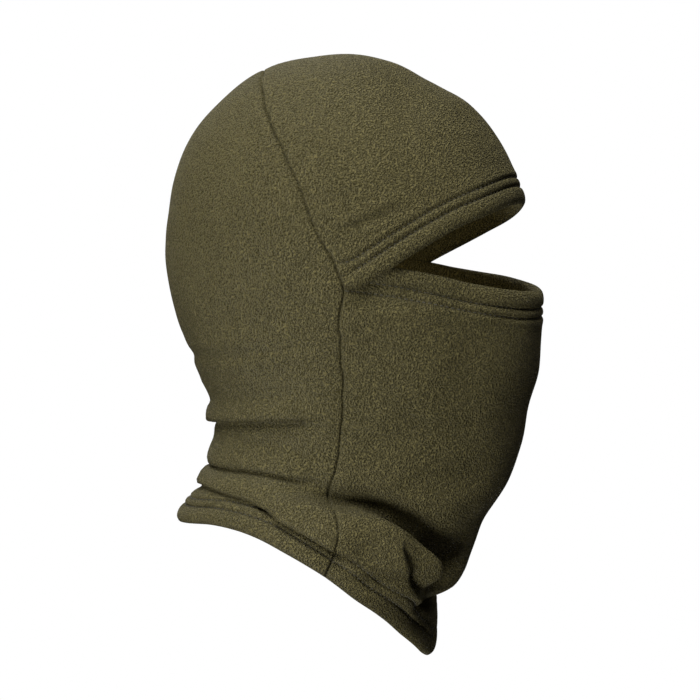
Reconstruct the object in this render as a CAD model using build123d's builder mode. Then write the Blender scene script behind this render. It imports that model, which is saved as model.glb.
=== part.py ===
"""Fleece balaclava: a three-panel hood with a hinged face cover, shown as worn.

The crown panel wraps the top and forehead, the back panel covers the rear of the head and the
nape, and the face panel runs from the nose to the chest. Each free edge is turned into a doubled
hem held by two rows of stitches. The seams are overlocked inside. The face hem pulls down about
the temples, where it is sewn into the seam.

Frame: X to the wearer's left, -Y to the front, +Z up. The origin is midway between the two points
beside the ears where the crown, back and face panels meet. All lengths are in millimetres, and
side-view points are (forward, up) from the origin.
"""

import os
from collections import namedtuple
from math import hypot

from build123d import *

os.makedirs("parts", exist_ok=True)

# Cloth and sewing
cloth = 2.6  # thickness of one ply of fleece
hem_proud = 1.4  # how far a doubled hem stands out past the panel
hem_depth = 18.0  # folded edge to the end of the doubled band
hem_inset = 2 * cloth - hem_proud  # inner face of a hem
stitch_rows = (10.5, 16.0)  # folded edge to each row of stitches
stitch_length = 3.6
stitch_pitch = 5.0
thread_radius = 0.35
seam_allowance = 6.0  # width of the bound edges inside a seam, pressed to the back
overlock_depth = 2.2  # how far the bound edges stand in from the wall
joint_gap = 0.4  # free space round the face hem, which moves
label_width = 34.0
label_height = 20.0
label_depth = 0.8

# Head form, on the outside of the cloth
crown_height = 29.0  # centre of the dome
crown_radius = 106.0  # in the side view
tuck = 7.0  # the face cover's top lies this far inside the hood at the temples
brow_setback = 8.0  # and the brow lies this far behind the nose

# One level ring of the form: its height, its half-width, and how far forward its back, its widest
# line and its front are.
Ring = namedtuple("Ring", "height half_width back widest front")
rings = [
    Ring(crown_height, 83.0, -119.0, -13.0, 101.0),
    Ring(17.0, 82.4, -119.4, -13.0, 101.0),
    Ring(5.0, 81.5, -118.3, -13.0, 101.0),
    Ring(-20.0, 79.0, -112.5, -13.0, 102.5),
    Ring(-45.0, 76.0, -102.0, -13.0, 100.0),
    Ring(-67.0, 72.0, -96.0, -14.0, 94.5),
    Ring(-90.0, 68.0, -94.0, -16.0, 90.0),
    Ring(-110.0, 68.5, -99.5, -20.0, 82.5),
    Ring(-132.0, 79.0, -110.5, -27.0, 69.5),
    Ring(-155.0, 87.0, -113.0, -33.0, 61.0),
    Ring(-180.0, 89.0, -113.0, -36.0, 47.5),
    Ring(-198.0, 89.0, -113.0, -36.0, 41.0),
    Ring(-215.0, 89.0, -113.0, -36.0, 37.5),
    Ring(-235.0, 89.0, -113.0, -36.0, 34.0),
]

# Seams and edges in the side view
crown_seam = [(-66, 150), (-59.5, 127.5), (-48.5, 99), (-35.5, 76), (-25, 56), (-16.5, 34), (-5.5, 15), (0, 0)]
side_seam = [(0, 0), (-3, -20), (-2.5, -55), (-8.5, -100), (-14, -125), (-12, -175), (-12, -260)]
brow_edge = [(0, 0), (19, 8.5), (34, 20.5), (48.5, 30.5), (76, 43.5), (93, 51), (130, 66)]
face_edge = [(-4, 17), (14, 15.5), (34, 12.5), (48.5, 9.5), (70, 4), (101, -2), (130, -6)]
neck_edge = [(-140, -139), (-90, -132), (-53, -135.5), (-16.5, -154.5), (15.5, -183), (37, -215), (60, -255)]

# The face hem turns about the temples, so its ends stop short of the seam.
face_hem_end = 9.0
face_stitch_end = 12.0
brow_stitch_end = 3.0

# Limits of the cutting regions
past_side = 130
past_front = 135
past_back = -145
past_top = 150
past_bottom = -260


def form(inset, half_width_cut, front_cut):
    """The closed solid inside the cloth's outer surface, drawn in by inset. The cuts are taken off
    the half-width and the front of the rings above the origin."""
    with BuildPart() as body:
        for ring in rings:
            above = ring.height > 0
            half_width = ring.half_width - inset - (half_width_cut if above else 0)
            front = ring.front - inset - (front_cut if above else 0)
            with BuildSketch(Plane.XY.offset(ring.height)):
                with BuildLine():
                    centre = (0, -ring.widest)
                    back_depth = ring.widest - ring.back - inset
                    EllipticalCenterArc(centre, half_width, back_depth, 0, arc_size=180)
                    EllipticalCenterArc(centre, half_width, front - ring.widest, 180, arc_size=180)
                make_face()
        loft()
    return body.part


def hood_form(inset):
    """Form of the crown and back panels, with its dome."""
    top = rings[0]
    with BuildPart() as dome:
        Sphere(1, arc_size1=0, align=(Align.CENTER, Align.CENTER, Align.MIN))
        scale(by=(top.half_width - inset, crown_radius - inset, crown_radius - inset))
    with BuildPart() as hood:
        add(form(inset, 0, brow_setback))
        add(dome.part.moved(Location((0, -top.widest, crown_height))))
    return hood.part


def face_form(inset):
    """Form of the face panel, tucked in under the hood at the temples."""
    return form(inset, tuck, 0)


def side(points):
    """Side-view points on Plane.YZ, whose first axis runs to the back."""
    return [(-forward, up) for forward, up in points]


def beside(points, distance):
    """An outline moved sideways, to the left of the way it runs."""
    moved = []
    for i, (forward, up) in enumerate(points):
        f0, z0 = points[max(i - 1, 0)]
        f1, z1 = points[min(i + 1, len(points) - 1)]
        step = distance / hypot(f1 - f0, z1 - z0)
        moved.append((forward - (z1 - z0) * step, up + (f1 - f0) * step))
    return moved


def region(*outlines):
    """Everything inside a closed side-view outline, right across the object. Each piece of the
    outline is smooth, and straight lines join one piece to the next."""
    with BuildPart() as block:
        with BuildSketch(Plane.YZ):
            with BuildLine():
                ends = []
                for outline in outlines:
                    points = side(outline)
                    if len(points) > 2:
                        Spline(*points)
                    else:
                        Line(*points)
                    ends += [points[0], points[-1]]
                for i in range(1, len(ends), 2):
                    start, end = ends[i], ends[(i + 1) % len(ends)]
                    if start != end:
                        Line(start, end)
            make_face()
        extrude(amount=past_side, both=True)
    return block.part


def band(edge, distance):
    """The strip between an edge and the same edge moved sideways."""
    return region(edge, beside(edge, distance)[::-1])


def shell(outer, inner, *areas):
    """The wall between two forms, where all the areas meet."""
    with BuildPart() as wall:
        add(outer)
        add(inner, mode=Mode.SUBTRACT)
        for area in areas:
            add(area, mode=Mode.INTERSECT)
    return wall.part


def without(part, *areas):
    with BuildPart() as rest:
        add(part)
        for area in areas:
            add(area, mode=Mode.SUBTRACT)
    return rest.part


def common(first, second):
    with BuildPart() as both:
        add(first)
        add(second, mode=Mode.INTERSECT)
    return both.part


def save(part, name):
    part.label = name
    export_step(part, f"parts/{name}.step")


def stitch_row(surface, edge, distance, first_forward):
    """One row of stitches that follows a hem's edge over the form's surface."""
    line = Plane.YZ * Spline(*side(beside(edge, distance)))
    sheet = Face.extrude(line.edge().moved(Location((-past_side, 0, 0))), (2 * past_side, 0, 0))
    outline = surface.intersect(sheet).faces()[0].outer_wire()
    count = round(outline.length / stitch_pitch)
    stitches = []
    for k in range(count):
        middle = outline.position_at(k / count)
        if -middle.Y > first_forward:
            with BuildPart(Plane(origin=middle, z_dir=outline.tangent_at(k / count))) as stitch:
                Cylinder(thread_radius, stitch_length)
            stitches.append(stitch.part.solid())
    return stitches


def stitching(surface, edge, inward, first_forward):
    stitches = []
    for row in stitch_rows:
        stitches += stitch_row(surface, edge, inward * row, first_forward)
    return Compound(children=stitches)


# Forms that the panels are cut from
hood_outer = hood_form(0)
hood_inner = hood_form(cloth)
hood_proud = hood_form(-hem_proud)
hood_overlocked = hood_form(cloth + overlock_depth)
face_outer = face_form(0)
face_inner = face_form(cloth)
face_proud = face_form(-hem_proud)
face_hem_inner = face_form(hem_inset)

# Where each panel lies in the side view
front_of_seam = region(crown_seam, side_seam, [(past_front, past_bottom), (past_front, past_top)])
above_brow = region(brow_edge, [(past_front, past_top), (-66, past_top)], [(-66, 40), (-20, 0)])
below_face_edge = region(face_edge, [(past_front, past_bottom), (-40, past_bottom)], [(-40, 17), (-12, 17)])
above_neck = region(
    neck_edge, [(past_front, past_bottom), (past_front, past_top)], [(past_back, past_top), (past_back, -139)]
)
past_hem_end = region([(face_hem_end, -60), (past_front, -60)], [(past_front, 60), (face_hem_end, 60)])
past_hem_gap = region(
    [(face_hem_end - joint_gap, -60), (past_front, -60)], [(past_front, 60), (face_hem_end - joint_gap, 60)]
)
brow_band = band(brow_edge, hem_depth)
face_band = common(band(face_edge, -hem_depth), past_hem_end)
face_band_gap = common(band(face_edge, -hem_depth - joint_gap), past_hem_gap)
neck_band = band(neck_edge, hem_depth)

# Crown panel, and its turned hem at the brow
crown_panel = without(shell(hood_outer, hood_inner, front_of_seam, above_brow), brow_band)
save(crown_panel, "crown_panel")
save(shell(hood_proud, hood_form(hem_inset), front_of_seam, brow_band), "brow_hem")

# Back panel, from the crown to the nape
back_panel = without(shell(hood_outer, hood_inner, above_neck), front_of_seam, neck_band)
save(back_panel, "back_panel")

# Face panel, and its turned hem across the nose, which moves
face_cloth = shell(face_outer, face_inner, front_of_seam, above_neck, below_face_edge)
save(without(face_cloth, face_band_gap, neck_band), "face_panel")
save(shell(face_proud, face_hem_inner, front_of_seam, face_band), "face_hem")

# Turned hem round the neck, across both panels
save(shell(face_proud, face_hem_inner, neck_band), "neck_hem")

# Stitches that hold the hems
save(stitching(hood_proud, brow_edge, 1, brow_stitch_end), "brow_hem_stitching")
save(stitching(face_proud, face_edge, -1, face_stitch_end), "face_hem_stitching")
save(stitching(face_proud, neck_edge, 1, past_back), "neck_hem_stitching")

# Overlocked edges inside the seams, which stop at the neck hem
behind_crown_seam = band(crown_seam, -seam_allowance)
behind_side_seam = band(side_seam, -seam_allowance)
save(without(shell(hood_inner, hood_overlocked, behind_crown_seam), behind_side_seam), "crown_seam_overlock")
side_overlock = without(shell(hood_inner, hood_overlocked, behind_side_seam, above_neck), neck_band)
for name, x in (("left", past_side), ("right", -past_side)):
    with BuildPart(Location((x, 0, 0))) as half:
        Box(2 * past_side, 4 * past_side, 4 * past_side)
    save(common(side_overlock, half.part), f"side_seam_overlock_{name}")

# Blank care label, sewn flat inside the back of the neck
with BuildPart(Location((0, 100, -102))) as label_area:
    Box(label_width, 80, label_height)
save(shell(hood_inner, hood_form(cloth + label_depth), label_area.part), "care_label")
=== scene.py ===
"""Fleece balaclava as worn: the looks. Shapes are worked out in millimetres as (x, forward, up) and
turned into metres in the shared frame, +X to the wearer's left, -Y to the front, +Z up."""

from math import cos, pi, radians, sin

import bmesh
import bpy
import numpy as np
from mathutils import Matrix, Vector


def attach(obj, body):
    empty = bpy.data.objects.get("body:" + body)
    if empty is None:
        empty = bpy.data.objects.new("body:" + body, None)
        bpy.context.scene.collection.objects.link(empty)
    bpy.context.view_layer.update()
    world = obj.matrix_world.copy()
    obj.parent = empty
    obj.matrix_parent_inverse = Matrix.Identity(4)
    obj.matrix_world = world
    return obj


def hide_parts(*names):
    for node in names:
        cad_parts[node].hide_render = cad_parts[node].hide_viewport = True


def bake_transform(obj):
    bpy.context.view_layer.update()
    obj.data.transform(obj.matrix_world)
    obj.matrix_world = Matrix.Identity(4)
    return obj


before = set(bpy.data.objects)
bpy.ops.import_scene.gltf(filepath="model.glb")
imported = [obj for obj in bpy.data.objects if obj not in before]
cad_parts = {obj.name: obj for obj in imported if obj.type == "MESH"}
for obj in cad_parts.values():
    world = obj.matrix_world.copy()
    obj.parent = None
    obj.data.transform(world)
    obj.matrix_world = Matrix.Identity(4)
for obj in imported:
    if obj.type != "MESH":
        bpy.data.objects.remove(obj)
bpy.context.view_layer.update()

# ---------------------------------------------------------------------------------------------
# Sizes, in millimetres

CLOTH = 2.6  # one ply of fleece
STITCH_ROWS = (10.5, 16.0)  # from the folded edge
HEM_REACH = 26  # how far from its folded edge a hem shapes the cloth
TUCK = 6.0  # the face cover's top lies this far inside the hood at the temples
BROW_SETBACK = 8.0  # and the brow lies this far behind the nose
BROW_DROP = 5.0  # the eye opening is lopsided: the brow hangs this much lower on the left
FACE_RISE = 3.5  # and the face hem rides this much higher there
CROWN_HEIGHT = 29.0  # centre of the dome
CROWN_RADIUS = 106.0  # in the side view

# Heights and forward distances over which the tuck and the setback come in
TUCK_UP, TUCK_FORWARD, SETBACK_UP = (-14, 2), (-1, 14), (-15, 0)

# The worn form by height: half-width, then how far forward its back, widest line and front are.
RINGS = np.array([
    (29, 83.0, -116.8, -13, 100.6),
    (17, 82.4, -116.9, -13, 100.4),
    (5, 81.5, -115.4, -13, 100.2),
    (-20, 79.0, -109.8, -13, 101.6),
    (-45, 76.0, -99.2, -13, 99.2),
    (-67, 72.0, -92.9, -14, 93.2),
    (-90, 68.0, -89.6, -16, 88.8),
    (-110, 68.5, -95.4, -20, 82.0),
    (-132, 79.0, -111.0, -27, 69.0),
    (-155, 87.0, -113.5, -33, 60.0),
    (-165, 88.0, -113.5, -34, 56.0),
    (-172, 88.6, -113.2, -35, 52.0),
    (-180, 89.0, -113.0, -36, 43.8),
    (-198, 89.0, -113.0, -36, 39.9),
    (-215, 89.0, -113.0, -36, 37.2),
    (-235, 89.0, -113.0, -36, 34.0),
])[::-1]

# Seams and edges in the side view, as (forward, up)
CROWN_SEAM = [
    (-66, 150), (-59.5, 127.5), (-48.5, 99), (-35.5, 76), (-25, 56), (-16.5, 34), (-5.5, 15),
    (0, 0),
]
SIDE_SEAM = [
    (0, 0), (-2.8, -10), (-3.2, -22), (-2.0, -55), (-4.6, -83), (-7.2, -100), (-11.8, -115),
    (-8.0, -123), (-4.6, -131), (-4.6, -143), (-9.5, -156), (-13, -175),
]
BROW_EDGE = [
    (0, 0), (9, 2.4), (20, 9.0), (33, 17.8), (47, 26.8), (61.4, 35.4), (77.4, 43.2), (92, 50.3),
    (130, 68),
]
FACE_EDGE = [(-4, 17), (14, 15.5), (34, 12.5), (48.5, 9.5), (70, 4), (101, -2), (130, -6)]
NECK_EDGE = [
    (-140, -141), (-99, -134.4), (-81, -132.7), (-64.5, -134.3), (-49, -138.6), (-35, -144.7),
    (-21, -152.0), (-7.5, -160.8), (5, -171.4), (17, -182.6), (28, -195.2), (34, -204.4),
    (37.5, -214.5), (46, -236),
]

# ---------------------------------------------------------------------------------------------
# Curves and the worn form

RIM_POINTS, FOLD_POINTS = 3000, 90  # points of a dense line along an edge and along a fold
BATCH = 4000  # points compared with a line at a time, which bounds the memory used
MIRROR = np.array([-1, 1, 1])


def smooth(x, xs, ys):
    """A smooth curve through rising xs and their ys."""
    xs, ys = np.asarray(xs, float), np.asarray(ys, float)
    step = np.diff(xs)
    slope = np.diff(ys) / step
    between = (slope[:-1] * step[1:] + slope[1:] * step[:-1]) / (step[:-1] + step[1:])
    tangent = np.concatenate([slope[:1], between, slope[-1:]])
    x = np.clip(x, xs[0], xs[-1])
    i = np.clip(np.searchsorted(xs, x) - 1, 0, len(step) - 1)
    t, h = (x - xs[i]) / step[i], step[i]
    start = ys[i] * (1 + 2 * t) * (1 - t) ** 2 + tangent[i] * h * t * (1 - t) ** 2
    end = ys[i + 1] * t * t * (3 - 2 * t) - tangent[i + 1] * h * t * t * (1 - t)
    return start + end


def ramp(x, low, high):
    """A smooth step from 0 at low to 1 at high."""
    t = np.clip((x - low) / (high - low), 0, 1)
    return t * t * (3 - 2 * t)


def lengths(points):
    """How far along a polyline each of its points is."""
    return np.concatenate([[0], np.cumsum(np.linalg.norm(np.diff(points, axis=0), axis=1))])


def resample(points, at):
    """Points at distances from the start of a polyline."""
    along = lengths(points)
    return np.stack([np.interp(at, along, points[:, k]) for k in range(points.shape[1])], 1)


def evenly(line, count):
    return resample(line, np.linspace(0, lengths(line)[-1], count))


def fine(outline, count):
    """A side-view outline as a smooth dense line."""
    outline = np.asarray(outline, float)
    along = lengths(outline)
    at = np.linspace(0, along[-1], count)
    return np.stack([smooth(at, along, outline[:, k]) for k in range(2)], 1)


def sizes(up, hood):
    """Half-width, back, widest line and front of the form at each height."""
    below_dome = np.minimum(up, CROWN_HEIGHT)
    w, back, mid, front = (smooth(below_dome, RINGS[:, 0], RINGS[:, k]) for k in range(1, 5))
    if hood:
        front = front - BROW_SETBACK * ramp(up, *SETBACK_UP)
    return w, back, mid, front


def tucked(w, p):
    """The face cover's half-width, drawn in under the hood at the temples."""
    return w - TUCK * ramp(p[..., 2], *TUCK_UP) * ramp(p[..., 1], *TUCK_FORWARD)


def inside(p, hood):
    """Under 1 inside the form and over 1 outside it, as a share of the way out."""
    w, back, mid, front = sizes(p[..., 2], hood)
    depth = np.where(p[..., 1] > mid, front - mid, mid - back)
    rise = np.maximum(p[..., 2] - CROWN_HEIGHT, 0) / CROWN_RADIUS
    if not hood:
        w = tucked(w, p)
    return np.sqrt((p[..., 0] / w) ** 2 + ((p[..., 1] - mid) / depth) ** 2 + rise**2)


def on_form(p, hood):
    """Points moved straight out from the middle of the head until they lie on the form."""
    p = np.array(p, float)
    for _ in range(6):  # rounds, because the form's size changes with height
        share = np.maximum(inside(p, hood), 1e-6)
        mid = sizes(p[..., 2], hood)[2]
        domed = p[..., 2] > CROWN_HEIGHT
        p[..., 0] /= share
        p[..., 1] = mid + (p[..., 1] - mid) / share
        p[..., 2] = np.where(domed, CROWN_HEIGHT + (p[..., 2] - CROWN_HEIGHT) / share, p[..., 2])
    return p


def rim(outline, hood):
    """The right-hand half of a side-view line where it lies on the form, as 3-D points."""
    line = fine(outline, RIM_POINTS)
    p = np.concatenate([np.zeros((len(line), 1)), line], 1)
    p = p[inside(p, hood) < 1]
    w = sizes(p[:, 2], hood)[0]
    if not hood:
        w = tucked(w, p)
    p[:, 0] = -w * np.sqrt(np.maximum(1 - inside(p, hood) ** 2, 0))
    return p


def wavy(line, seed):
    """A seam that wanders a little, as sewn fleece does. Its ends stay where they are."""
    amount, shortest, longest, still = 0.35, 9, 26, 12
    waves, evened = 5, 2.2
    along = lengths(line)
    rng = np.random.default_rng(seed)
    wander = sum(
        np.sin(2 * pi * along / rng.uniform(shortest, longest) + rng.uniform(0, 6))
        for _ in range(waves)
    )
    line = line.copy()
    from_end = np.minimum(along, along[-1] - along)
    line[:, 1] += amount * (wander / evened) * np.minimum(1, from_end / still)
    return on_form(line, True)


def lopsided(p, outline):
    """The eye opening as worn: to the left its brow hangs lower, and its face hem rides higher."""
    p = p.copy()
    if outline == "brow":
        shift, leftward, forward = -BROW_DROP, (-28, 50), (12, 62)
    else:
        shift, leftward, forward = FACE_RISE, (-35, 40), (40, 82)
    p[:, 2] += shift * ramp(p[:, 0], *leftward) * ramp(p[:, 1], *forward)
    return on_form(p, outline == "brow")


def both_sides(right):
    """A right-hand half that ends on the middle line, carried on to the left."""
    right = right.copy()
    right[-1, 0] = 0
    return np.concatenate([right, right[-2::-1] * MIRROR])


def upto(line, point):
    """The part of a line before its nearest point to a given one."""
    return line[: np.argmin(np.linalg.norm(line - point, axis=1)) + 1]


def distance(p, line):
    """Distance of each point from a polyline, read at every 1.5 mm."""
    spacing = 1.5
    flat = p.reshape(-1, 3)
    out = np.empty(len(flat))
    line = resample(line, np.arange(0, lengths(line)[-1] + spacing, spacing))
    a, d = line[:-1], np.diff(line, axis=0)
    size = np.maximum((d * d).sum(1), 1e-12)
    for k in range(0, len(flat), BATCH):
        rel = flat[k : k + BATCH, None] - a
        t = np.clip((rel * d).sum(2) / size, 0, 1)
        out[k : k + BATCH] = np.sqrt(((rel - t[..., None] * d) ** 2).sum(2).min(1))
    return out.reshape(p.shape[:-1])


# ---------------------------------------------------------------------------------------------
# Folds of the worn cloth. Each runs along a side-view line. Its profile gives how far the cloth
# stands out at a distance to the left of the line as it runs; negative distances are to the right.
# lean says in the same way how far the cloth moves to the left, so that a fold can hang over.
# span is the part of the line where it shows, in shares of its length: (starts, full, full, ends).
# middle gives the distances from the middle line where it begins and is full, so reversed ones
# keep it near the middle. narrow draws the left side in by this share near the line's start, and
# blurred is how often the fold is smoothed.

NO_LEAN = [(0, 0), (1, 0)]
NARROW_UNTIL = (0.3, 0.65)  # the shares of a line between which its narrowing fades out
CLEAR_OF_NECK_HEM = (4, 10)  # folds fade out over these distances from the neck hem's edge

FOLDS = [
    {  # roll round the nape, which hangs over a sharp crease
        "line": [
            (-104, -79), (-97, -78.5), (-87, -77.0), (-64.5, -75), (-42, -73.2), (-22, -73.2),
            (-5, -74.5),
        ],
        "profile": [
            (-14, 0), (-7, -0.4), (-3, -1.6), (-1.2, -2.8), (0.2, -2.0), (1.6, 2.2), (4.5, 3.0),
            (8, 1.8), (11.5, -0.7), (16, -0.9), (24, 0),
        ],
        "lean": [(0, 0), (1.4, -2.0), (4, -1.4), (9, 0)],
        "span": (-2, -1, 0.60, 0.97),
    },
    {  # second crease, lower on the nape
        "line": [
            (-104, -99), (-95.5, -100.5), (-82.7, -101.9), (-61.4, -102.1), (-41.4, -103.8),
            (-27.7, -106.2), (-10, -108.5),
        ],
        "profile": [
            (-16, 0), (-9, 2.3), (-4, 1.2), (-1.2, -2.4), (0.2, -2.2), (1.6, 1.6), (4.5, 2.8),
            (9, 2.0), (14, 0), (22, 0),
        ],
        "lean": [(0, 0), (1.4, -1.8), (4, -1.2), (9, 0)],
        "span": (-2, -1, 0.70, 0.94),
    },
    {  # lowest roll, which hangs over the top of the hem
        "line": [
            (-108, -116.5), (-99, -115.5), (-90.8, -113.6), (-70, -116.5), (-56.8, -118.8),
            (-44.2, -121.3), (-30, -125),
        ],
        "profile": [
            (-12, 0), (-5, 0.4), (-2.5, -0.8), (-0.8, -2.4), (0.3, -1.6), (2, 1.6), (6, 1.8),
            (12, 0),
        ],
        "lean": [(0, 0), (1.6, -1.5), (5, -0.8), (9, 0)],
        "span": (-2, -1, 0.75, 1),
    },
    {  # the same roll as it comes round beside the side seam, over a deep gap
        "line": [
            (-62, -117.5), (-48.9, -122), (-39.3, -126.4), (-27, -131.4), (-16, -137.0),
            (-6, -143.2), (6, -152.5),
        ],
        "profile": [
            (-15, 0), (-8, -1.4), (-3.5, -3.6), (-1.2, -5.4), (0.3, -3.0), (2.0, 3.0), (6, 4.8),
            (11, 3.8), (17, 1.0), (24, 0),
        ],
        "lean": [(-0.3, 0), (1.6, -3.2), (5, -2.0), (11, 0)],
        "span": (0.02, 0.36, 0.76, 1),
    },
    {  # soft valley that parts it in two
        "line": [(-58, -113), (-45, -114.4), (-31.4, -113.6), (-15, -117.0), (-6, -121)],
        "profile": [(-9, 0), (-4, 0.8), (0, -1.8), (4, -0.6), (10, 0)],
        "span": (0, 0.4, 1.5, 2),
    },
    {  # the skirt, rolled forward under the jaw with a deep hollow above it
        "line": [
            (-40, -108), (-26, -113.5), (-14, -119.0), (-4, -123.0), (7, -124.8), (18.5, -129.6),
            (30, -137.2), (38.6, -146), (43.8, -152.4), (45.8, -158), (44.2, -164), (40, -170.6),
            (33, -176.8),
        ],
        "profile": [
            (-40, 0), (-28, 2.4), (-16, 5.4), (-8, 7.6), (-3.5, 6.8), (-1, 2.0), (1.5, -8.0),
            (4, -15.5), (6.5, -18.0), (9.5, -16.0), (12.5, -10.5), (15.5, -5.5), (20, -2.4),
            (27, -0.8), (35, 0),
        ],
        "narrow": 0.35,
        "lean": [(-13, 0), (-8, 1.6), (-3, 5.0), (-0.6, 4.4), (1.6, 0.6), (3, 0)],
        "span": (0, 0.50, 0.80, 0.96),
        "middle": (4, 30),
        "blurred": 2,
    },
    {  # pleat that folds the skirt back over the end of that roll
        "line": [
            (24.5, -136), (26.5, -147), (29.8, -158), (33.2, -168.7), (37.0, -176.5), (42, -184),
        ],
        "profile": [
            (-13, 0), (-5, 2.0), (-1.8, 2.2), (-0.3, 0.8), (1.6, -2.4), (4.5, -3.2), (12, 0),
        ],
        "lean": [(-8, 0), (-1.8, 2.2), (-0.2, 1.6), (0.8, 0)],
        "span": (0, 0.35, 0.9, 1),
        "middle": (8, 24),
    },
    {  # throat, where the face panel tucks in above the front of the skirt
        "line": [(20, -178), (32, -181), (40, -182.5), (60, -185)],
        "profile": [
            (-5, 0), (-3.2, -1.0), (-1.2, -5.0), (0.8, -9.5), (3, -7.0), (6, -2.4), (10, 0),
        ],
        "span": (-1, 0, 2, 3),
        "middle": (50, 28),
    },
    {  # faint creases across the side of the head
        "line": [(-104, -38), (-70, -37), (-40, -33), (-12, -32)],
        "profile": [(-12, 0), (-4, 0.5), (0, -0.8), (5, 0.3), (13, 0)],
        "span": (-1, 0.1, 0.5, 1),
    },
    {  # flatter front of the crown
        "line": [(14, 133), (30, 126), (46, 116), (60, 105)],
        "profile": [(-34, 0), (-18, -1.2), (0, -2.6), (12, -2.6), (30, 0)],
        "span": (0, 0.45, 0.62, 1),
    },
    {  # fuller back of the crown
        "line": [(-120, 44), (-113, 66), (-101, 87), (-82, 106), (-56, 121), (-26, 131)],
        "profile": [(-34, 0), (-18, 1.2), (0, 2.8), (12, 2.8), (30, 0)],
        "span": (0, 0.3, 0.75, 1),
    },
    {  # slack just above the brow hem near the ear
        "line": [(-8, 33), (6, 36), (22, 43), (44, 50)],
        "profile": [(-8, 0), (-3, -0.2), (0, -1.0), (4, 0.7), (11, 0)],
        "span": (0, 0.3, 0.5, 1),
    },
]


def blurred(field):
    """A grid of numbers, each drawn a little towards its neighbours."""
    for axis in (0, 1):
        ends = [(1, 1) if k == axis else (0, 0) for k in range(field.ndim)]
        wide = np.pad(field, ends, "edge").swapaxes(0, axis)
        field = (0.25 * wide[:-2] + 0.5 * wide[1:-1] + 0.25 * wide[2:]).swapaxes(0, axis)
    return field


def one_fold(fold, points):
    """How far one fold stands out at each (forward, up), and how far it leans."""
    line = fine(fold["line"], FOLD_POINTS)
    share = lengths(line) / lengths(line)[-1]
    a, d = line[:-1], np.diff(line, axis=0)
    size = (d * d).sum(1)
    rel = points[:, None] - a
    t = np.clip((rel * d).sum(2) / size, 0, 1)
    gap = np.sqrt(((rel - t[..., None] * d) ** 2).sum(2))
    near = gap.argmin(1)
    rows = np.arange(len(near))
    way = d[near] / np.sqrt(size[near])[:, None]
    left = way[:, 0] * rel[rows, near, 1] - way[:, 1] * rel[rows, near, 0]
    signed = gap[rows, near] * np.where(left >= 0, 1, -1)
    along = share[near] + t[rows, near] * (share[near + 1] - share[near])
    starts, full, still_full, ends = fold["span"]
    shown = ramp(along, starts, full) * (1 - ramp(along, still_full, ends))
    narrowed = fold.get("narrow", 0) * (signed > 0) * (1 - ramp(along, *NARROW_UNTIL))
    signed *= 1 + narrowed

    def read(profile):
        at, value = np.array(profile, float).T
        past = (signed < at[0]) | (signed > at[-1])
        return np.where(past, 0, smooth(signed, at, value)) * shown

    to_left = np.stack([-way[:, 1], way[:, 0]], 1)
    return read(fold["profile"]), read(fold.get("lean", NO_LEAN))[:, None] * to_left


def fold_shift(p):
    """How far all folds stand out from the form at each point, and how far they lean."""
    total = np.zeros(p.shape[:-1])
    lean = np.zeros(p.shape[:-1] + (2,))
    flat = p[..., 1:].reshape(-1, 2)
    for fold in FOLDS:
        parts = [one_fold(fold, flat[k : k + BATCH]) for k in range(0, len(flat), BATCH)]
        height = np.concatenate([part[0] for part in parts]).reshape(total.shape)
        shift = np.concatenate([part[1] for part in parts]).reshape(lean.shape)
        for _ in range(fold.get("blurred", 0)):
            height, shift = blurred(height), blurred(shift)
        if "middle" in fold:
            fade = ramp(np.abs(p[..., 0]), *fold["middle"])
            height, shift = height * fade, shift * fade[..., None]
        total += height
        lean += shift
    clear = ramp(distance(p, whole_neck), *CLEAR_OF_NECK_HEM)
    return total * clear, lean * clear[..., None]


def ripple(p, seed, size, amount):
    """Gentle uneven waves about this long and high, in a few fixed pseudo-random directions."""
    waves = 7
    rng = np.random.default_rng(seed)
    total = np.zeros(p.shape[:-1])
    for _ in range(waves):
        way = rng.normal(size=3)
        way *= 2 * pi / (size * rng.uniform(0.7, 1.5) * np.linalg.norm(way))
        total += np.sin(p @ way + rng.uniform(0, 2 * pi))
    return total * amount / waves**0.5


# ---------------------------------------------------------------------------------------------
# Panels as grids: [row, column, xyz]


def patch(bottom, top, left, right, rows=160):
    """A surface between four edges. Each edge runs in the direction of rising column or row."""
    columns = len(bottom)
    v = np.linspace(0, 1, rows)[:, None, None]
    u = np.linspace(0, 1, columns)[None, :, None]
    left = resample(left, np.linspace(0, lengths(left)[-1], rows))[:, None]
    right = resample(right, np.linspace(0, lengths(right)[-1], rows))[:, None]
    ruled = (1 - v) * bottom[None] + v * top[None] + (1 - u) * left + u * right
    low_corners = (1 - u) * bottom[0] + u * bottom[-1]
    high_corners = (1 - u) * top[0] + u * top[-1]
    return ruled - ((1 - v) * low_corners + v * high_corners)


def spaced(grid, first_rows, last_rows, step):
    """The grid with its rows set at these distances from each end of its columns, and about step
    apart between them. Columns too short for that squeeze their rows together."""
    least = 1.25  # of the set rows' own length, for a column that needs no squeezing
    total = np.array([lengths(grid[:, k])[-1] for k in range(grid.shape[1])])
    room = first_rows[-1] + last_rows[-1]
    middle = int((np.median(total) - room) / step)
    out = []
    for k in range(grid.shape[1]):
        squeeze = min(1, total[k] / (room * least))
        near = np.array(first_rows) * squeeze
        far = total[k] - np.array(last_rows)[::-1] * squeeze
        at = np.concatenate([near, np.linspace(near[-1], far[0], middle + 2)[1:-1], far])
        out.append(resample(grid[:, k], at))
    return np.stack(out, 1)


def plain_normals(p, hood):
    """Outward normals of the form."""
    w, back, mid, front = sizes(p[..., 2], hood)
    depth = np.where(p[..., 1] > mid, front - mid, mid - back)
    out = np.stack([
        p[..., 0] / w**2,
        (p[..., 1] - mid) / depth**2,
        np.maximum(p[..., 2] - CROWN_HEIGHT, 0) / CROWN_RADIUS**2,
    ], -1)
    return out / np.linalg.norm(out, axis=-1, keepdims=True)


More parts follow.
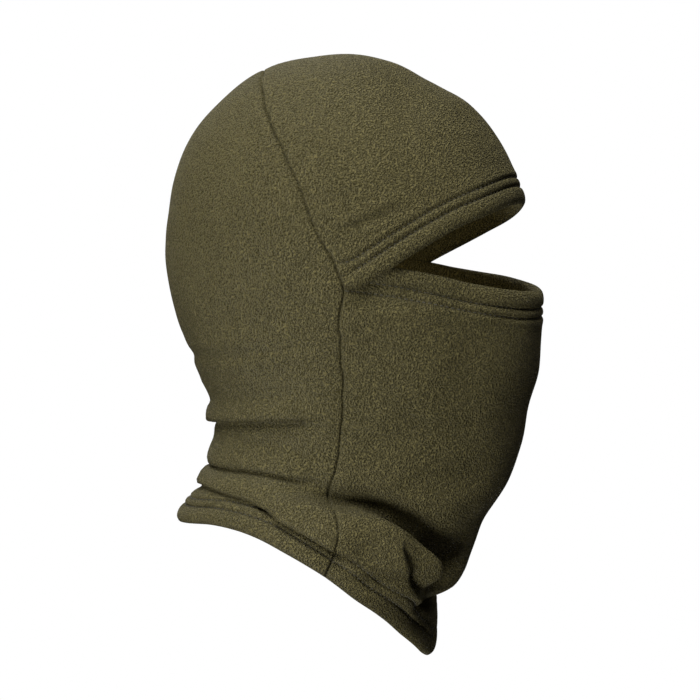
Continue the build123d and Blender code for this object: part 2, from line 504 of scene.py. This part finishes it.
def grid_normals(grid, hood):
    """Outward normals of a grid, which fall back on the form's own where a grid closes up. They
    keep one sense over the whole grid, so the underside of an overhang stays right side out."""
    across = np.gradient(grid, axis=1)
    along = np.gradient(grid, axis=0)
    normal = np.cross(across, along)
    size = np.linalg.norm(normal, axis=2, keepdims=True)
    plain = plain_normals(grid, hood)
    normal = normal / np.maximum(size, 1e-3)
    normal *= np.sign((normal * plain).sum(2).mean())
    normal = blurred(np.where(size > 1e-3, normal, plain))
    return normal / np.linalg.norm(normal, axis=2, keepdims=True)


# Rows of a panel's grid, by their distance from a hem's folded edge and from a seam
HEM_ROWS = [
    0, 0.3, 0.8, 1.5, 2.3, 3.3, 4.5, 5.7, 6.9, 8, 8.9, 9.5, 9.9, 10.3, 10.7, 11.1, 11.6, 12.4,
    13.4, 14.4, 15.0, 15.4, 15.8, 16.2, 16.6, 17.1, 17.8, 18.7, 19.8, 21,
]
SEAM_ROWS = [0, 0.35, 0.75, 1.2, 1.8, 2.6, 3.7, 5.0]


def quads(index):
    """The faces of a grid of vertex numbers."""
    corners = [index[:-1, :-1], index[:-1, 1:], index[1:, 1:], index[1:, :-1]]
    return np.stack(corners, -1).reshape(-1, 4)


def read_between(field, at, count, axis):
    """A field known at some rows or columns of a grid, read at all of them."""
    every_one = np.arange(count)
    return np.apply_along_axis(lambda values: np.interp(every_one, at, values), axis, field)


def relaxed(grid, fixed):
    """The grid after its cloth has settled: a cloth simulation with a little spare cloth, held to
    its place by the shares in fixed. It runs ten times full size, on every other row and column."""
    to_simulation, to_millimetres = (0.01, -0.01, 0.01), (100, -100, 100)
    furthest, passes = 3.5, 5  # mm that a point may move, and how often the moves are smoothed
    frames, every = 18, 2
    rows = np.unique(np.append(np.arange(0, grid.shape[0], every), grid.shape[0] - 1))
    columns = np.unique(np.append(np.arange(0, grid.shape[1], every), grid.shape[1] - 1))
    coarse = grid[np.ix_(rows, columns)]
    held = fixed[np.ix_(rows, columns)]
    faces = quads(np.arange(held.size).reshape(held.shape))
    start = coarse.reshape(-1, 3) * to_simulation
    mesh = bpy.data.meshes.new("settling")
    mesh.from_pydata(start.tolist(), [], faces.tolist())
    cloth_object = bpy.data.objects.new("settling", mesh)
    bpy.context.scene.collection.objects.link(cloth_object)
    group = cloth_object.vertex_groups.new(name="held")
    for weight in np.unique(np.round(held, 2)):
        where = np.nonzero(np.round(held.ravel(), 2) == weight)[0]
        group.add(where.tolist(), float(weight), "REPLACE")
    cloth = cloth_object.modifiers.new("cloth", "CLOTH")
    cloth.settings.quality = 6
    cloth.settings.mass = 0.25
    cloth.settings.tension_stiffness = 30
    cloth.settings.compression_stiffness = 30
    cloth.settings.shear_stiffness = 12
    cloth.settings.bending_stiffness = 1.2
    cloth.settings.air_damping = 4
    cloth.settings.vertex_group_mass = "held"
    cloth.settings.pin_stiffness = 0.6
    cloth.settings.shrink_min = -0.014
    cloth.collision_settings.use_collision = False
    cloth.settings.effector_weights.gravity = 0.5
    scene = bpy.context.scene
    for f in range(1, frames + 1):
        scene.frame_set(f)
    shape = cloth_object.evaluated_get(bpy.context.evaluated_depsgraph_get()).to_mesh()
    end = np.empty(len(start) * 3)
    shape.vertices.foreach_get("co", end)
    scene.frame_set(1)
    bpy.data.objects.remove(cloth_object)
    bpy.data.meshes.remove(mesh)
    moved = ((end.reshape(-1, 3) - start) * to_millimetres).reshape(coarse.shape)
    size = np.linalg.norm(moved, axis=2, keepdims=True)
    print(f"cloth settled by {size.max():.2f} mm at most, {size.mean():.2f} mm on average")
    moved *= np.minimum(1, furthest / np.maximum(size, 1e-6))
    for _ in range(passes):
        moved = blurred(moved)
    moved *= (1 - held)[..., None] ** 0.5
    moved = read_between(moved, columns, grid.shape[1], 1)
    return grid + read_between(moved, rows, grid.shape[0], 0)


# How a hem and a seam shape the cloth
ROLL, SECOND_ROLL, STEP = 1.5, 0.55, 0.45  # a hem stands out by these
STEP_AT, STEP_WIDTH = 18.8, 2.2
TURNED_PLY_ENDS = (17.2, 18.6)
INNER_PLY, INNER_ROLL, INNER_GROOVE = 1.5, 0.5, 0.8  # and inwards by these
GROOVE, GROOVE_WIDTH = 1.3, 0.75
FOLDED_EDGE = 3.0  # the fold is round over this distance
SEAM_DIP, SEAM_DIP_WIDTH, SEAM_INNER = 1.8, 0.7, 2.9
SEAM_PULL, SEAM_PULL_WIDTH = 0.35, 4.5  # the cloth is drawn down a little beside a seam


def bell(x, width):
    """1 at 0, falling away on both sides."""
    return np.exp(-((x / width) ** 2))


def hem_faces(edge):
    """Outer and inner faces of the cloth at distances from a folded edge, as offsets from the
    form: a round roll up to the first stitches, a low one between the rows, and a step down where
    the turned ply ends."""
    first, second = STITCH_ROWS
    roll = np.sin(pi * np.clip(edge / first, 0, 1))
    second_roll = np.sin(pi * np.clip((edge - first) / (second - first), 0, 1))
    step = bell(edge - STEP_AT, STEP_WIDTH) * (edge > second)
    grooves = sum(bell(edge - row, GROOVE_WIDTH) for row in STITCH_ROWS)
    doubled = 1 - ramp(edge, *TURNED_PLY_ENDS)
    raised = ROLL * roll**0.6 + SECOND_ROLL * second_roll + STEP * step
    outer = raised * (edge < HEM_REACH) - GROOVE * grooves
    inner = -CLOTH - INNER_PLY * doubled - INNER_ROLL * roll + INNER_GROOVE * grooves
    turn = np.sqrt(1 - (1 - np.clip(edge / FOLDED_EDGE, 0, 1)) ** 2)
    middle = -CLOTH / 2
    return middle + (outer - middle) * turn, middle + (inner - middle) * turn


def cloth_faces(base, normal, laid, hems, seams):
    """Outer and inner surfaces of a panel, with turned hems and closed seams along these lines."""
    shape = base.shape[:2]
    outer, inner = np.zeros(shape), np.full(shape, -CLOTH)
    for line in hems:
        edge = distance(laid, line)
        hem_outer, hem_inner = hem_faces(edge)
        outer = np.where(edge < HEM_REACH, hem_outer, outer)
        inner = np.where(edge < HEM_REACH, hem_inner, inner)
    uneven = 1 + 0.5 * ripple(base, seed=5, size=14, amount=1)
    for line in seams:
        gap = distance(laid, line)
        dip, pull = bell(gap, SEAM_DIP_WIDTH), bell(gap, SEAM_PULL_WIDTH)
        outer = outer * (1 - 0.85 * dip) - SEAM_DIP * dip - SEAM_PULL * uneven * pull
        inner = inner * (1 - dip) - SEAM_INNER * dip
    return base + normal * outer[..., None], base + normal * inner[..., None]


WELD = 2e-5  # metres; vertices nearer than this are one, as where a panel's corners close up


def to_metres(p):
    return np.asarray(p, float) * (0.001, -0.001, 0.001)


def make_mesh(name, vertices, faces):
    mesh = bpy.data.meshes.new(name)
    mesh.from_pydata(to_metres(vertices).tolist(), [], faces)
    mesh.validate()
    mesh.polygons.foreach_set("use_smooth", [True] * len(mesh.polygons))
    piece = bpy.data.objects.new(name, mesh)
    bpy.context.scene.collection.objects.link(piece)
    return piece


def panel(name, outer, inner):
    """A closed cloth panel between its two surfaces, with its rim."""
    rows, columns = outer.shape[:2]
    index = np.arange(rows * columns).reshape(rows, columns)
    skin = quads(index)
    other = skin[:, ::-1] + rows * columns
    loop = np.concatenate([index[0, :-1], index[:-1, -1], index[-1, :0:-1], index[:0:-1, 0]])
    after = np.roll(loop, -1)
    edge = np.stack([loop, loop + rows * columns, after + rows * columns, after], -1)
    vertices = np.concatenate([outer.reshape(-1, 3), inner.reshape(-1, 3)])
    piece = make_mesh(name, vertices, np.concatenate([skin, other, edge]).tolist())
    bm = bmesh.new()
    bm.from_mesh(piece.data)
    bmesh.ops.remove_doubles(bm, verts=bm.verts, dist=WELD)
    bmesh.ops.recalc_face_normals(bm, faces=bm.faces)
    bm.to_mesh(piece.data)
    bm.free()
    return piece


# Edges and seams in space, right-hand halves
brow = rim(BROW_EDGE, True)
crown = wavy(rim(CROWN_SEAM, True)[::-1], 4)
neck = rim(NECK_EDGE, True)
face_top = rim(FACE_EDGE, False)
side = wavy(rim(SIDE_SEAM, True), 9)
meeting = np.argmin(((neck[:, None, 1:] - side[None, :, 1:]) ** 2).sum(2).min(1))
side = upto(side, neck[meeting])
neck_back, neck_front = neck[: meeting + 1][::-1], neck[meeting:]
ear = crown[0]
face_corner = np.argmin(np.abs(crown[:, 2] - FACE_EDGE[0][1]))  # on the crown seam
behind_face = np.concatenate([crown[: face_corner + 1][::-1], side[1:]])

COLUMNS = 241
whole_brow = lopsided(both_sides(brow), "brow")
whole_crown = both_sides(crown)
whole_neck = both_sides(neck)
whole_face_top = lopsided(both_sides(face_top), "face")
crown_grid = patch(
    evenly(whole_brow, COLUMNS),
    evenly(whole_crown, COLUMNS),
    np.repeat(ear[None], 2, 0),
    np.repeat(ear[None] * MIRROR, 2, 0),
)
back_grid = patch(
    evenly(both_sides(neck_back), COLUMNS),
    evenly(whole_crown, COLUMNS),
    side[::-1],
    side[::-1] * MIRROR,
)
face_grid = patch(
    evenly(whole_face_top, COLUMNS),
    evenly(both_sides(neck_front), COLUMNS),
    behind_face,
    behind_face * MIRROR,
)

RIPPLES = ((3, 70, 0.5), (8, 30, 0.22))  # seed, size and amount of the waves over all the cloth
COLUMN_STEP = 1.7
FREEDOM = 0.8  # share by which the simulated cloth is freed from its place
FREE_BEYOND = (14, 40)  # it comes free between these distances from an edge
SHARP_FOLD = (1.2, 2.2)  # and it is held where a fold stands out by more than this
SHARP_LEAN = (0.05, 0.4)  # or leans by more than this

edges = (whole_brow, whole_crown, whole_neck, whole_face_top, side, side * MIRROR)
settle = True
pieces = {}
grids = {}  # each panel's grid, its normals, and the grid before folds, which hems are measured on
for name, grid, hood, first, last, step in (
    ("crown", crown_grid, True, HEM_ROWS, SEAM_ROWS, 1.9),
    ("back", back_grid, True, HEM_ROWS, SEAM_ROWS, 1.5),
    ("face", face_grid, False, HEM_ROWS, HEM_ROWS, 1.5),
):
    grid = spaced(on_form(grid, hood), first, last, step)
    if name != "crown":
        turned = grid.transpose(1, 0, 2)
        grid = spaced(turned, SEAM_ROWS, SEAM_ROWS, COLUMN_STEP).transpose(1, 0, 2)
    grid[1:-1, 1:-1] = on_form(grid[1:-1, 1:-1], hood)
    laid = grid
    out = plain_normals(grid, True)
    height, lean = fold_shift(grid)
    for seed, size, amount in RIPPLES:
        height = height + ripple(grid, seed, size, amount)
    grid = grid + out * height[..., None]
    grid[..., 1:] += lean
    # The crown isn't settled: its rows meet in a point at each temple, and then the solver moves nothing.
    if settle and name != "crown":
        edge_gap = np.minimum.reduce([distance(laid, line) for line in edges])
        folded = ramp(np.abs(height), *SHARP_FOLD)
        leaning = ramp(np.abs(lean).sum(2), *SHARP_LEAN)
        held = 1 - FREEDOM * ramp(edge_gap, *FREE_BEYOND)
        held = np.maximum(held, np.maximum(folded, leaning))
        grid = relaxed(grid, held)
    grids[name] = [grid, grid_normals(grid, hood), laid]

# Seams as lines of a panel's grid
LAST_ROW, FIRST_COLUMN, LAST_COLUMN = (-1, slice(None)), (slice(None), 0), (slice(None), -1)
SEWN = [
    ("crown", LAST_ROW, "back"),
    ("back", LAST_ROW, "crown"),
    ("back", FIRST_COLUMN, "face"),
    ("back", LAST_COLUMN, "face"),
    ("face", FIRST_COLUMN, "back"),
    ("face", LAST_COLUMN, "back"),
]
SEWN_WITHIN = 2.5  # a seam's points find the other panel's within this


def seam_normals(name, line, other):
    """Normals along a panel's seam, evened out with those of the panel that it is sewn to."""
    grid, normal, _ = grids[name]
    mean = normal[line].copy()
    points, normals = (field.reshape(-1, 3) for field in grids[other][:2])
    for k, point in enumerate(grid[line]):
        gap = ((points - point) ** 2).sum(1)
        nearest = gap.argmin()
        if gap[nearest] < SEWN_WITHIN**2:
            mean[k] += normals[nearest]
    return mean / np.linalg.norm(mean, axis=1, keepdims=True)


def inward(line, k):
    """The line of a grid that is k rows or columns in from one of its edges."""
    return tuple(n if isinstance(n, slice) else n + (k if n == 0 else -k) for n in line)


means = [seam_normals(*entry) for entry in SEWN]
for (name, line, _), mean in zip(SEWN, means):
    normal = grids[name][1]
    for k, share in enumerate(1 - ramp(np.array(SEAM_ROWS), 0, SEAM_ROWS[-1])):
        where = inward(line, k)
        mixed = normal[where] * (1 - share) + mean * share
        normal[where] = mixed / np.linalg.norm(mixed, axis=1, keepdims=True)

hem_rows = {"crown": [0], "back": [0], "face": [0, -1]}
surfaces = {}
for name, (grid, normal, laid) in grids.items():
    hems = [laid[row] for row in hem_rows[name]]
    seams = [laid[line] for panel_name, line, _ in SEWN if panel_name == name]
    surfaces[name] = cloth_faces(grid, normal, laid, hems, seams)
    pieces[name] = panel(f"{name}_cloth", *surfaces[name])

# ---------------------------------------------------------------------------------------------
# Stitches, sunk in their grooves


def row_line(name, end, away):
    """The line on a panel's outer face at this distance from one of its hems, with normals."""
    grid, normal, laid = grids[name]
    outer = surfaces[name][0]
    gap = distance(laid, laid[end])
    rows = range(grid.shape[0]) if end == 0 else range(grid.shape[0] - 1, -1, -1)
    order = list(rows)[: grid.shape[0] // 2]
    points, out = [], []
    for c in range(grid.shape[1]):
        column = gap[order, c]
        k = np.argmax(column >= away)
        if k == 0:
            continue
        t = (away - column[k - 1]) / max(column[k] - column[k - 1], 1e-6)
        a, b = order[k - 1], order[k]
        points.append(outer[a, c] * (1 - t) + outer[b, c] * t)
        out.append(normal[a, c])
    return np.array(points), np.array(out)


def read_along(field, along, at):
    """Directions known along a line, read at other distances and made of length one."""
    v = np.stack([np.interp(at, along, field[:, k]) for k in range(3)], 1)
    return v / np.linalg.norm(v, axis=1, keepdims=True)


def tube_faces(rings, sides, base=0):
    """Faces of a closed tube of rings of vertices, which start at number base."""
    faces = []
    for ring in range(rings - 1):
        for k in range(sides):
            a, b = base + ring * sides + k, base + ring * sides + (k + 1) % sides
            faces.append((a, b, b + sides, a + sides))
    last = base + (rings - 1) * sides
    faces.append(tuple(range(base, base + sides))[::-1])
    faces.append(tuple(range(last, last + sides)))
    return faces


def stitches(name, rows):
    """Short arched threads along each line of (points, normals)."""
    pitch, length, radius = 3.4, 2.5, 0.36
    tip, flat = 0.45, 0.8  # share of the radius at a stitch's ends, and of its height to its width
    proud, arch = 0.45, 3.2  # a stitch's middle stands out this far, and its ends dive in
    rings = (-0.5, -0.32, 0, 0.32, 0.5)  # in shares of a stitch's length
    sides = 6
    vertices, faces = [], []
    for points, normals in rows:
        along = lengths(points)
        at = np.arange(pitch / 2, along[-1] - pitch / 2, pitch)
        centre = resample(points, at)
        out = read_along(normals, along, at)
        way = resample(points, at + 0.5) - resample(points, at - 0.5)
        way /= np.linalg.norm(way, axis=1, keepdims=True)
        for c, w, o, s in zip(centre, way, out, np.cross(way, out)):
            faces += tube_faces(len(rings), sides, len(vertices))
            for x in rings:
                r = radius * (tip if abs(x) == 0.5 else 1)
                middle = c + w * x * length + o * (proud - arch * x * x)
                for k in range(sides):
                    a = 2 * pi * k / sides
                    vertices.append(middle + s * cos(a) * r + o * sin(a) * r * flat)
    return make_mesh(name, np.array(vertices), faces)


for key, name, hems in (
    ("brow_stitches", "brow_hem_stitches", [("crown", 0)]),
    ("face_stitches", "face_hem_stitches", [("face", 0)]),
    ("neck_stitches", "neck_hem_stitches", [("back", 0), ("face", -1)]),
):
    pieces[key] = stitches(name, [row_line(*hem, row) for hem in hems for row in STITCH_ROWS])

# ---------------------------------------------------------------------------------------------
# Overlocked edges inside the seams

back_base, back_normal, _ = grids["back"]
back_inner = surfaces["back"][1]


def overlock(name, points, normals, across):
    """A bound cloth edge along a line on the inner face, ribbed by its threads."""
    width, depth = 6.0, 2.2
    spacing, rib_pitch, rib_height = 0.55, 2.2, 0.10
    taper = 2.5  # length over which its ends close
    sides = 12
    along = lengths(points)
    at = np.arange(0, along[-1], spacing)
    centre = resample(points, at)
    out, side_way = (read_along(field, along, at) for field in (normals, across))
    rib = 1 + rib_height * np.cos(2 * pi * at / rib_pitch)
    ends = np.clip(np.minimum(at, along[-1] - at) / taper, 0.15, 1) ** 0.5
    vertices = []
    for k in range(sides):
        a = 2 * pi * k / sides
        sideways = side_way * (cos(a) * width / 2)
        inwards = out * (sin(a) * depth / 2 * (rib * ends))[:, None]
        vertices.append(centre - out * 0.5 + (sideways - inwards))
    vertices = np.stack(vertices, 1).reshape(-1, 3)
    return make_mesh(name, vertices, tube_faces(len(at), sides))


OVERLOCK_IN = 3.1  # how far its middle lies from the seam


def inside_line(seam, further_in):
    """The overlock's line inside a seam of the back panel, with its normals and the way across."""
    across = back_inner[further_in] - back_inner[seam]
    across /= np.maximum(np.linalg.norm(across, axis=1, keepdims=True), 1e-6)
    return back_inner[seam] + across * OVERLOCK_IN, back_normal[further_in], across


along_crown = slice(3, -3)
above_hem = slice(len(HEM_ROWS) - 2, -3)
for key, name, seam, further_in in (
    ("crown_overlock", "crown_seam_edge", (-1, along_crown), (-6, along_crown)),
    ("right_overlock", "side_seam_edge_right", (above_hem, 0), (above_hem, 3)),
    ("left_overlock", "side_seam_edge_left", (above_hem, -1), (above_hem, -4)),
):
    pieces[key] = overlock(name, *inside_line(seam, further_in))

# ---------------------------------------------------------------------------------------------
# Blank care label inside the nape


def label():
    """A thin label that lies on the nape's inner face and hangs a little free at its lower edge."""
    width, thick = 34.0, 0.45
    bottom, top = -113, -92
    points, rows = 25, 16
    clear, hang, wave, wave_size = 1.0, 2.6, 0.35, 4.5
    reach = 12  # columns of the back panel to each side of the middle
    middle = back_base.shape[1] // 2
    columns = np.arange(middle - reach, middle + reach + 1)
    heights = back_base[:, middle, 2]
    low, high = (int(np.argmin(np.abs(heights - up))) for up in (bottom, top))
    x = np.linspace(-width / 2, width / 2, points)
    face = []
    for u in np.linspace(0, 1, rows):
        row = low + (high - low) * u
        a = int(row)
        t = row - a
        wall = back_inner[a, columns] * (1 - t) + back_inner[min(a + 1, high), columns] * t
        lift = clear + hang * (1 - u) ** 2 + wave * np.sin(x / wave_size) * (1 - u)
        place = wall - back_normal[a, columns] * lift[:, None]
        place = place[np.argsort(place[:, 0])]
        forward, up = (np.interp(x, place[:, 0], place[:, k]) for k in (1, 2))
        face.append(np.stack([x, forward, up], 1))
    face = np.array(face)
    return panel("blank_label", face, face + np.array([0, thick, 0]))


pieces["label"] = label()

# ---------------------------------------------------------------------------------------------
# Materials


def shader(name):
    material = bpy.data.materials.new(name)
    material.use_nodes = True
    nodes, links = material.node_tree.nodes, material.node_tree.links
    principled = nodes["Principled BSDF"]
    place = nodes.new("ShaderNodeTexCoord").outputs["Object"]
    return material, nodes, links, principled, place


def noise(nodes, links, place, scale, detail, roughness=0.5, distortion=0):
    n = nodes.new("ShaderNodeTexNoise")
    n.inputs["Scale"].default_value = scale
    n.inputs["Detail"].default_value = detail
    n.inputs["Roughness"].default_value = roughness
    n.inputs["Distortion"].default_value = distortion
    links.new(place, n.inputs["Vector"])
    return n.outputs["Fac"]


def bands(nodes, links, place, direction, scale, distortion):
    wave = nodes.new("ShaderNodeTexWave")
    wave.bands_direction = direction
    wave.inputs["Scale"].default_value = scale
    wave.inputs["Distortion"].default_value = distortion
    links.new(place, wave.inputs["Vector"])
    return wave.outputs["Fac"]


def smooth_range(nodes, links, value, low, high, start=0, end=1):
    r = nodes.new("ShaderNodeMapRange")
    r.interpolation_type = "SMOOTHSTEP"
    r.inputs["From Min"].default_value = low
    r.inputs["From Max"].default_value = high
    r.inputs["To Min"].default_value = start
    r.inputs["To Max"].default_value = end
    links.new(value, r.inputs["Value"])
    return r.outputs["Result"]


def arithmetic(nodes, links, kind, a, b):
    m = nodes.new("ShaderNodeMath")
    m.operation = kind
    for k, value in enumerate((a, b)):
        if isinstance(value, (int, float)):
            m.inputs[k].default_value = value
        else:
            links.new(value, m.inputs[k])
    return m.outputs[0]


def blend_of(nodes, links, *parts):
    """The sum of two (value, share)."""
    first, second = (arithmetic(nodes, links, "MULTIPLY", *part) for part in parts)
    return arithmetic(nodes, links, "ADD", first, second)


def tinted(nodes, links, factor, stops):
    r = nodes.new("ShaderNodeValToRGB")
    while len(r.color_ramp.elements) < len(stops):
        r.color_ramp.elements.new(0.5)
    for element, (at, colour) in zip(r.color_ramp.elements, stops):
        element.position = at
        element.color = (*colour, 1)
    links.new(factor, r.inputs["Fac"])
    return r.outputs["Color"]


def finish(nodes, links, principled, colour, height, strength, distance, roughness):
    """Colour, relief and roughness of a material."""
    links.new(colour, principled.inputs["Base Color"])
    bump = nodes.new("ShaderNodeBump")
    bump.inputs["Strength"].default_value = strength
    bump.inputs["Distance"].default_value = distance
    links.new(height, bump.inputs["Height"])
    links.new(bump.outputs["Normal"], principled.inputs["Normal"])
    principled.inputs["Roughness"].default_value = roughness


def fleece(name):
    """Brushed fleece: a fine wormy nap whose pits are painted darker as painted shade, otherwise nearly
    even in colour, and a matt sheen.
    """
    material, nodes, links, principled, place = shader(name)
    nap = smooth_range(
        nodes, links, noise(nodes, links, place, 1050, 1.0, distortion=0.25), 0.30, 0.68
    )
    fibres = noise(nodes, links, place, 2200, 3, 0.6)
    # The colour follows the nap's height, so its pits are painted darker as painted shade, with faint
    # fibres and random patches of tone on top.
    fuzz = arithmetic(nodes, links, "ADD", nap, arithmetic(nodes, links, "MULTIPLY", fibres, 0.25))
    patches = noise(nodes, links, place, 26, 3)
    pit_shade_and_patches = blend_of(nodes, links, (fuzz, 0.55), (patches, 0.16))
    colour = tinted(nodes, links, pit_shade_and_patches, [
        (0.13, (0.030, 0.025, 0.0062)),
        (0.40, (0.092, 0.077, 0.0246)),
        (0.71, (0.132, 0.113, 0.0445)),
    ])
    finish(nodes, links, principled, colour, nap, 1.0, 0.0026, 0.96)
    principled.inputs["Specular IOR Level"].default_value = 0.12
    principled.inputs["Sheen Weight"].default_value = 0.15
    principled.inputs["Sheen Roughness"].default_value = 0.55
    principled.inputs["Sheen Tint"].default_value = (0.62, 0.58, 0.40, 1)
    return material


def thread(name, dark, light):
    """Spun thread: a fine diagonal twist."""
    material, nodes, links, principled, place = shader(name)
    twist = bands(nodes, links, place, "DIAGONAL", 900, 1.5)
    fuzz = noise(nodes, links, place, 1400, 3)
    spun = blend_of(nodes, links, (twist, 0.5), (fuzz, 0.5))
    colour = tinted(nodes, links, spun, [(0.25, dark), (0.8, light)])
    finish(nodes, links, principled, colour, spun, 0.6, 0.0002, 0.7)
    principled.inputs["Sheen Weight"].default_value = 0.15
    return material


def satin(name):
    """Woven label satin, off-white and blank."""
    material, nodes, links, principled, place = shader(name)
    rows = bands(nodes, links, place, "Z", 750, 0.6)
    age = noise(nodes, links, place, 90, 3)
    woven = blend_of(nodes, links, (rows, 0.35), (age, 0.65))
    colour = tinted(nodes, links, woven, [(0.2, (0.50, 0.48, 0.42)), (0.8, (0.72, 0.70, 0.64))])
    finish(nodes, links, principled, colour, woven, 0.35, 0.0002, 0.45)
    return material


olive = fleece("olive_fleece")
stitch_thread = thread("olive_thread", (0.022, 0.019, 0.008), (0.070, 0.062, 0.030))
edge_thread = thread("overlock_thread", (0.045, 0.040, 0.019), (0.125, 0.112, 0.062))
satin_label = satin("label_satin")

# Each piece's material, the record's material slot, and the CAD nodes that it stands for
pieces_made = {
    "crown": (olive, "fleece", ("crown_panel", "brow_hem")),
    "back": (olive, "fleece", ("back_panel", "neck_hem")),
    "face": (olive, "fleece", ("face_panel", "face_hem", "neck_hem")),
    "brow_stitches": (stitch_thread, "thread", ("brow_hem_stitching",)),
    "face_stitches": (stitch_thread, "thread", ("face_hem_stitching",)),
    "neck_stitches": (stitch_thread, "thread", ("neck_hem_stitching",)),
    "crown_overlock": (edge_thread, "overlock", ("crown_seam_overlock",)),
    "right_overlock": (edge_thread, "overlock", ("side_seam_overlock_right",)),
    "left_overlock": (edge_thread, "overlock", ("side_seam_overlock_left",)),
    "label": (satin_label, "label", ("care_label",)),
}
for name, (material, slot, nodes) in pieces_made.items():
    pieces[name].data.materials.append(material)
    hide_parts(*nodes)

# ---------------------------------------------------------------------------------------------
# What each piece moves with

# The face panel and its stitches are kept off the hood, with their placing baked into their meshes.
blended = ("face", "face_stitches")
for name in blended:
    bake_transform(pieces[name])
for name, piece in pieces.items():
    if name not in blended:
        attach(piece, "hood")

# ---------------------------------------------------------------------------------------------
# Floor, light and camera, in metres

FLOOR_RADIUS, FLOOR_HEIGHT = 1.95, -0.62
FLOOR_FADES = (0.7, 1.9)  # the floor fades into the white backdrop over these distances

bpy.ops.mesh.primitive_circle_add(
    vertices=128, radius=FLOOR_RADIUS, fill_type="NGON", location=(0, 0, FLOOR_HEIGHT)
)
floor = bpy.context.object
floor.name = "floor"
material, nodes, links, principled, place = shader("pale_floor")
speck = noise(nodes, links, place, 40, 3)
pale = tinted(nodes, links, speck, [(0.3, (0.86, 0.86, 0.86)), (0.7, (0.88, 0.88, 0.88))])
links.new(pale, principled.inputs["Base Color"])
principled.inputs["Roughness"].default_value = 0.9
from_middle = nodes.new("ShaderNodeVectorMath")
from_middle.operation = "LENGTH"
links.new(place, from_middle.inputs[0])
shown = smooth_range(nodes, links, from_middle.outputs["Value"], *FLOOR_FADES, 1, 0)
links.new(shown, principled.inputs["Alpha"])
floor.data.materials.append(material)
floor.visible_diffuse = False  # the floor throws no light up at the object

bpy.context.scene.view_settings.view_transform = "Standard"

# A white backdrop for the camera, and a faint warm light from all round for the object
world = bpy.data.worlds.new("studio")
bpy.context.scene.world = world
world.use_nodes = True
nodes, links = world.node_tree.nodes, world.node_tree.links
seen = nodes["Background"]
seen.inputs["Color"].default_value = (1, 1, 1, 1)
seen.inputs["Strength"].default_value = 1.0
lit = nodes.new("ShaderNodeBackground")
lit.inputs["Color"].default_value = (1, 0.88, 0.55, 1)
lit.inputs["Strength"].default_value = 0.03
path = nodes.new("ShaderNodeLightPath")
mix = nodes.new("ShaderNodeMixShader")
links.new(path.outputs["Is Camera Ray"], mix.inputs["Fac"])
links.new(lit.outputs[0], mix.inputs[1])
links.new(seen.outputs[0], mix.inputs[2])
links.new(mix.outputs[0], nodes["World Output"].inputs["Surface"])


def add_light(name, kind, place, power, colour=(1, 1, 1)):
    data = bpy.data.lights.new(name, kind)
    data.energy = power
    data.color = colour
    light = bpy.data.objects.new(name, data)
    light.location = place
    bpy.context.scene.collection.objects.link(light)
    return light


LIT_POINT = Vector((0, 0, -0.04))  # what every lamp faces
for name, place, size, power in (
    ("key", (-1.29, 0.36, 1.30), 0.9, 25),
    ("low_key", (-1.10, 0.31, -0.41), 0.4, 11),
    ("top", (-0.62, 0.18, 1.75), 0.9, 25),
    ("far_top", (0.41, -0.50, 1.75), 0.9, 10),
    ("left", (1.43, 0.81, 0.91), 1.0, 18),
    ("front_left", (1.18, -1.01, 1.05), 1.0, 3),
):
    lamp = add_light(name, "AREA", place, power)
    lamp.data.shape = "DISK"
    lamp.data.size = size
    lamp.rotation_euler = (LIT_POINT - Vector(place)).to_track_quat("-Z", "Y").to_euler()
glow = add_light("light_through_the_cloth", "POINT", (0, 0, 0.03), 0.07, (1.0, 0.88, 0.55))
glow.data.shadow_soft_size = 0.04

# The camera looks from just in front of the wearer's right side.
turn, rise, reach = radians(9.3), radians(3.1), 1.6
target = Vector((0, 0.0103, -0.03651))
away = Vector((-cos(turn) * cos(rise), -sin(turn) * cos(rise), sin(rise)))
camera_data = bpy.data.cameras.new("camera")
camera_data.sensor_width = 36  # mm, as is the lens
camera_data.lens = 141.05
camera = bpy.data.objects.new("camera", camera_data)
camera.location = target + away * reach
camera.rotation_euler = (-away).to_track_quat("-Z", "Y").to_euler()
bpy.context.scene.collection.objects.link(camera)
bpy.context.scene.camera = camera
